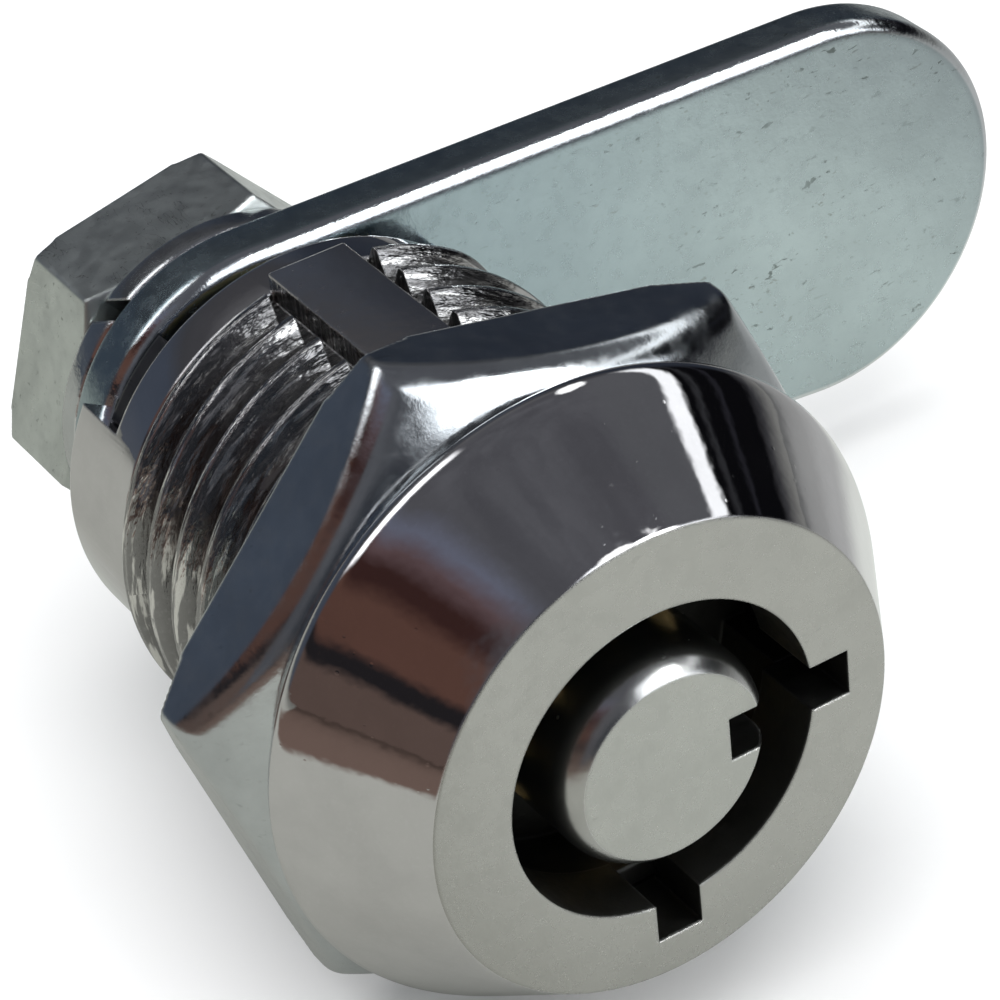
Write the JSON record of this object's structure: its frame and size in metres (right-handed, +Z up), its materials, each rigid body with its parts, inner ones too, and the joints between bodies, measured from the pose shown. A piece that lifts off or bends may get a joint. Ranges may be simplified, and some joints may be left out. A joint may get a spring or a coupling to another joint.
{
  "type": "tubular cam lock",
  "caption": "Round tubular-key cam lock: conical chrome head with keyed post, threaded barrel with hex nut, and a flat quarter-turn cam at the rear.",
  "frame": {"origin": "on the lock's axis, in the back face of the head, which is the panel seat", "axes": "+Y along the lock's axis from the head to the cam, +X towards the cam's tip at rest, +Z up; seen from the front, +X is to the right"},
  "size_m": [0.0396, 0.0296, 0.022],
  "materials": {
    "chrome_case": "bright chrome plate on die-cast zinc",
    "zinc_nut": "bright zinc plated steel",
    "chrome_spindle": "satin nickel-chrome plate",
    "brass_carrier": "plain machined brass",
    "steel_pin": "plain ground steel",
    "zinc_washer": "bright zinc plated steel",
    "zinc_cam": "bright zinc plated pressed steel, finely speckled",
    "spring_steel": "zinc plated spring steel",
    "zinc_cam_nut": "bright zinc plated steel, slightly pitted",
    "brass_pin": "turned brass",
    "driver_steel": "turned nickel silver",
    "spring_wire": "drawn steel wire"
  },
  "bodies": {
    "housing": {"housing": "chrome_case", "pin_carrier": "brass_carrier", "retaining_pin": "steel_pin", "pin_spring_1": "spring_wire", "pin_spring_2": "spring_wire", "pin_spring_3": "spring_wire", "pin_spring_4": "spring_wire", "pin_spring_5": "spring_wire", "pin_spring_6": "spring_wire", "pin_spring_7": "spring_wire"},
    "mounting_nut": {"mounting_nut": "zinc_nut"},
    "spindle": {"spindle": "chrome_spindle", "stop_washer": "zinc_washer", "cam": "zinc_cam", "spring_washer": "spring_steel", "cam_nut": "zinc_cam_nut"},
    "key_pin_1": {"key_pin_1": "brass_pin"},
    "driver_pin_1": {"driver_pin_1": "driver_steel"},
    "key_pin_2": {"key_pin_2": "brass_pin"},
    "driver_pin_2": {"driver_pin_2": "driver_steel"},
    "key_pin_3": {"key_pin_3": "brass_pin"},
    "driver_pin_3": {"driver_pin_3": "driver_steel"},
    "key_pin_4": {"key_pin_4": "brass_pin"},
    "driver_pin_4": {"driver_pin_4": "driver_steel"},
    "key_pin_5": {"key_pin_5": "brass_pin"},
    "driver_pin_5": {"driver_pin_5": "driver_steel"},
    "key_pin_6": {"key_pin_6": "brass_pin"},
    "driver_pin_6": {"driver_pin_6": "driver_steel"},
    "key_pin_7": {"key_pin_7": "brass_pin"},
    "driver_pin_7": {"driver_pin_7": "driver_steel"}
  },
  "joints": [
    {"name": "spindle_turn", "type": "hinge", "parent": "housing", "child": "spindle", "pos_m": [0, 0, 0], "axis": [0, -1, 0], "range_deg": [-90, 0]},
    {"name": "mounting_nut_travel", "type": "slide", "parent": "housing", "child": "mounting_nut", "axis": [0, 1, 0], "range_m": [0, 0.0088]},
    {"name": "key_pin_1_slide", "type": "slide", "parent": "spindle", "child": "key_pin_1", "axis": [0, -1, 0], "range_m": [0, 0.0008]},
    {"name": "driver_pin_1_slide", "type": "slide", "parent": "housing", "child": "driver_pin_1", "axis": [0, -1, 0], "range_m": [0, 0.0008]},
    {"name": "key_pin_2_slide", "type": "slide", "parent": "spindle", "child": "key_pin_2", "axis": [0, -1, 0], "range_m": [0, 0.0016]},
    {"name": "driver_pin_2_slide", "type": "slide", "parent": "housing", "child": "driver_pin_2", "axis": [0, -1, 0], "range_m": [0, 0.0016]},
    {"name": "key_pin_3_slide", "type": "slide", "parent": "spindle", "child": "key_pin_3", "axis": [0, -1, 0], "range_m": [0, 0.0004]},
    {"name": "driver_pin_3_slide", "type": "slide", "parent": "housing", "child": "driver_pin_3", "axis": [0, -1, 0], "range_m": [0, 0.0004]},
    {"name": "key_pin_4_slide", "type": "slide", "parent": "spindle", "child": "key_pin_4", "axis": [0, -1, 0], "range_m": [0, 0.0012]},
    {"name": "driver_pin_4_slide", "type": "slide", "parent": "housing", "child": "driver_pin_4", "axis": [0, -1, 0], "range_m": [0, 0.0012]},
    {"name": "key_pin_5_slide", "type": "slide", "parent": "spindle", "child": "key_pin_5", "axis": [0, -1, 0], "range_m": [0, 0.002]},
    {"name": "driver_pin_5_slide", "type": "slide", "parent": "housing", "child": "driver_pin_5", "axis": [0, -1, 0], "range_m": [0, 0.002]},
    {"name": "key_pin_6_slide", "type": "slide", "parent": "spindle", "child": "key_pin_6", "axis": [0, -1, 0], "range_m": [0, 0.0008]},
    {"name": "driver_pin_6_slide", "type": "slide", "parent": "housing", "child": "driver_pin_6", "axis": [0, -1, 0], "range_m": [0, 0.0008]},
    {"name": "key_pin_7_slide", "type": "slide", "parent": "spindle", "child": "key_pin_7", "axis": [0, -1, 0], "range_m": [0, 0.0012]},
    {"name": "driver_pin_7_slide", "type": "slide", "parent": "housing", "child": "driver_pin_7", "axis": [0, -1, 0], "range_m": [0, 0.0012]}
  ],
  "couplings": [
    {"joint": "driver_pin_1_slide", "follows": "key_pin_1_slide", "ratio": 1},
    {"joint": "driver_pin_2_slide", "follows": "key_pin_2_slide", "ratio": 1},
    {"joint": "driver_pin_3_slide", "follows": "key_pin_3_slide", "ratio": 1},
    {"joint": "driver_pin_4_slide", "follows": "key_pin_4_slide", "ratio": 1},
    {"joint": "driver_pin_5_slide", "follows": "key_pin_5_slide", "ratio": 1},
    {"joint": "driver_pin_6_slide", "follows": "key_pin_6_slide", "ratio": 1},
    {"joint": "driver_pin_7_slide", "follows": "key_pin_7_slide", "ratio": 1}
  ]
}
